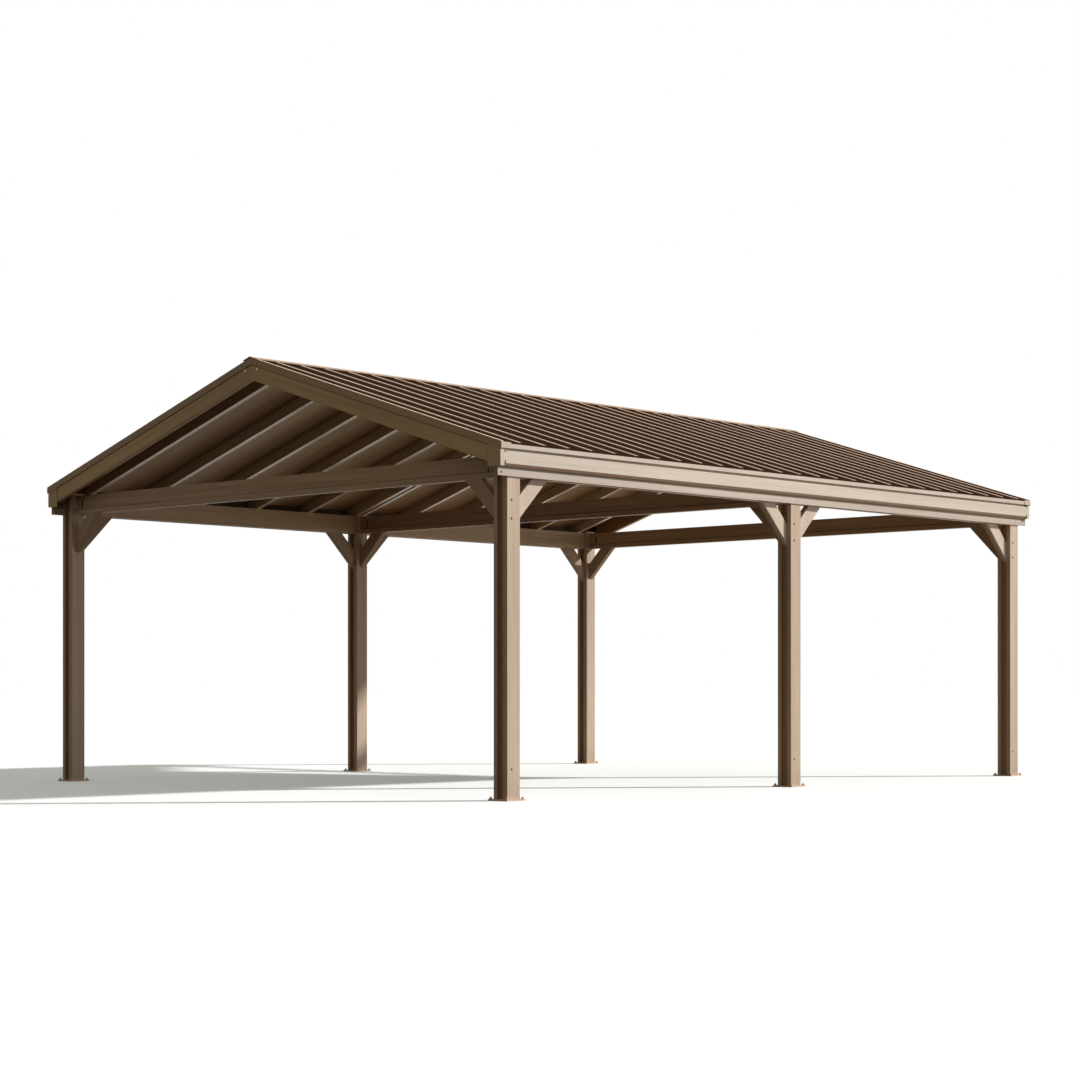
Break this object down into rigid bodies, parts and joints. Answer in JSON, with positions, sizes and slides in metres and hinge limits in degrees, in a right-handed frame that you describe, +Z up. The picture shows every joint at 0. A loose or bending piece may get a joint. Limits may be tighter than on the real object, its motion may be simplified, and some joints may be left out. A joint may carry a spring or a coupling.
{
  "type": "carport",
  "caption": "Open gabled carport with channelled timber posts, knee braces, tie beams, rafters and a brown metal roof with tan seam caps.",
  "frame": {"origin": "on the ground at the centre of the plan, midway between the posts", "axes": "+Z up, +Y along the ridge with the front gable at -Y, +X across the span to the right eave"},
  "size_m": [5.716, 7.316, 3.5445],
  "materials": {
    "plate_steel": "satin brown paint",
    "post_wood": "stained, fine vertical grain",
    "brace_wood": "stained, grain along the brace",
    "beam_wood": "stained, grain along the beam",
    "rafter_wood": "stained, grain along the rafter",
    "deck_wood": "stained boards",
    "trim_wood": "stained, smooth",
    "roof_metal": "dark brown coated sheet",
    "seam_metal": "tan coated sheet",
    "flashing_metal": "tan coated sheet"
  },
  "bodies": {
    "root": {"base_plate_front_left": "plate_steel", "post_front_left": "post_wood", "knee_braces_front_left": "brace_wood", "base_plate_front_right": "plate_steel", "post_front_right": "post_wood", "knee_braces_front_right": "brace_wood", "base_plate_middle_left": "plate_steel", "post_middle_left": "post_wood", "knee_braces_middle_left": "brace_wood", "base_plate_middle_right": "plate_steel", "post_middle_right": "post_wood", "knee_braces_middle_right": "brace_wood", "base_plate_rear_left": "plate_steel", "post_rear_left": "post_wood", "knee_braces_rear_left": "brace_wood", "base_plate_rear_right": "plate_steel", "post_rear_right": "post_wood", "knee_braces_rear_right": "brace_wood", "eave_beams_left": "beam_wood", "eave_beams_right": "beam_wood", "tie_beam_front": "beam_wood", "tie_beam_middle": "beam_wood", "tie_beam_rear": "beam_wood", "ridge_board": "rafter_wood", "rafters_left": "rafter_wood", "roof_deck_left": "deck_wood", "roof_sheet_left": "roof_metal", "seam_caps_left": "seam_metal", "rafters_right": "rafter_wood", "roof_deck_right": "deck_wood", "roof_sheet_right": "roof_metal", "seam_caps_right": "seam_metal", "ridge_cap": "seam_metal", "barge_board_front_left": "trim_wood", "verge_flashing_front_left": "flashing_metal", "barge_board_front_right": "trim_wood", "verge_flashing_front_right": "flashing_metal", "barge_board_rear_left": "trim_wood", "verge_flashing_rear_left": "flashing_metal", "barge_board_rear_right": "trim_wood", "verge_flashing_rear_right": "flashing_metal", "eave_boards_left": "trim_wood", "fascia_left": "trim_wood", "drip_trim_left": "flashing_metal", "eave_boards_right": "trim_wood", "fascia_right": "trim_wood", "drip_trim_right": "flashing_metal"}
  },
  "joints": []
}
